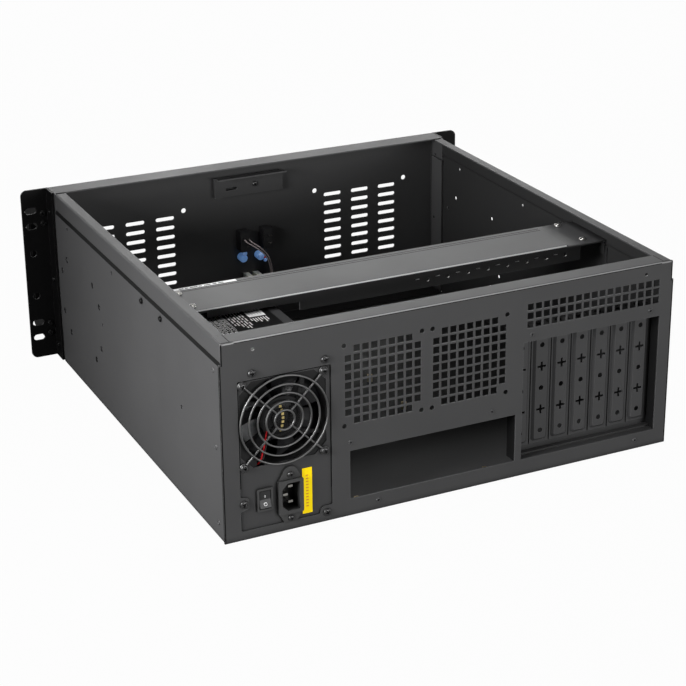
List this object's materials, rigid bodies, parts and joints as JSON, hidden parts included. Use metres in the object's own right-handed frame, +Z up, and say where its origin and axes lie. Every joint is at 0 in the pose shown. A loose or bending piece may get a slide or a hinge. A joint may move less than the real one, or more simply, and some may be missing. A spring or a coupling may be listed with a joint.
{
  "type": "rackmount server case",
  "caption": "Open rackmount server case in black steel with a power supply, grilles, expansion slot covers, a crossbar, rack ears and handles.",
  "frame": {"origin": "middle of the floor's underside", "axes": "+Z up, -Y the front with ears and handles, +Y the rear panel, +X the side of the power supply"},
  "size_m": [0.4826, 0.4948, 0.176],
  "materials": {
    "case_black": "fine satin powder coat",
    "supply_black": "satin powder coat",
    "handle_black": "satin",
    "plastic_black": "fine matte",
    "inlet_black": "smooth",
    "rubber_black": "matte",
    "screw_black": "black zinc",
    "screw_bright": "bright zinc",
    "zinc_sheet": "plain zinc",
    "guard_wire": "black nickel",
    "pin_metal": "nickel plated",
    "seal_yellow": "printed film",
    "label_dark": "printed film",
    "label_white": "printed film",
    "board_brown": "laminate",
    "board_green": "laminate",
    "sink_metal": "plain",
    "ferrite": "matte",
    "capacitor_sleeve": "smooth sleeve",
    "lead_red": "smooth insulation",
    "lead_black": "smooth insulation",
    "led_blue": "clear tinted",
    "holder_blue": "smooth"
  },
  "bodies": {
    "case": {"chassis_tub": "case_black", "rear_panel": "case_black", "front_panel": "case_black", "rack_ear_right": "case_black", "rack_ear_left": "case_black", "handle_right": "handle_black", "handle_left": "handle_black", "side_screws": "screw_black", "handle_screws": "screw_black", "rivets": "case_black", "crossbar": "case_black", "crossbar_label": "label_white", "crossbar_screws": "screw_bright", "crossbar_bracket_right": "case_black", "crossbar_bracket_left": "case_black", "slot_frame": "case_black", "slot_cover_screws": "screw_black", "board_standoffs": "pin_metal", "psu_tray": "supply_black", "psu_cover": "supply_black", "psu_cover_screws": "screw_black", "psu_screws": "screw_bright", "psu_label": "label_dark", "psu_grommet": "rubber_black", "psu_board": "board_brown", "psu_heatsinks": "sink_metal", "psu_transformer": "ferrite", "psu_capacitors": "capacitor_sleeve", "fan_frame": "plastic_black", "fan_guard": "guard_wire", "guard_screws": "screw_bright", "fan_lead_red": "lead_red", "fan_lead_black": "lead_black", "power_inlet": "inlet_black", "inlet_pins": "pin_metal", "inlet_screws": "screw_bright", "switch_bezel": "plastic_black", "seal_sticker": "seal_yellow", "power_switch": "plastic_black", "reset_switch": "plastic_black", "led_holders": "holder_blue", "leds": "led_blue", "usb_sockets": "zinc_sheet", "front_board": "board_green", "front_cable": "lead_black", "power_leads": "lead_black", "latch_bracket": "case_black", "latch_screw": "screw_black", "slot_cover_1": "case_black", "slot_cover_2": "case_black", "slot_cover_3": "case_black", "slot_cover_4": "case_black", "slot_cover_5": "case_black", "slot_cover_6": "case_black", "slot_cover_7": "case_black"},
    "fan": {"fan_rotor": "plastic_black"},
    "rocker": {"switch_rocker": "inlet_black"},
    "power": {"power_button": "inlet_black"},
    "reset": {"reset_button": "inlet_black"}
  },
  "joints": [
    {"name": "psu_fan_spin", "type": "hinge", "parent": "case", "child": "fan", "pos_m": [0.1604, 0.2103, 0.101], "axis": [0, 1, 0], "continuous": true},
    {"name": "switch_rocker_tilt", "type": "hinge", "parent": "case", "child": "rocker", "pos_m": [0.1789, 0.2232, 0.0328], "axis": [1, 0, 0], "range_deg": [-14, 0]},
    {"name": "power_button_push", "type": "slide", "parent": "case", "child": "power", "axis": [0, 1, 0], "range_m": [0, 0.0015], "stiffness_N_per_m": 300, "springref_m": -0.002},
    {"name": "reset_button_push", "type": "slide", "parent": "case", "child": "reset", "axis": [0, 1, 0], "range_m": [0, 0.0015], "stiffness_N_per_m": 300, "springref_m": -0.002}
  ]
}
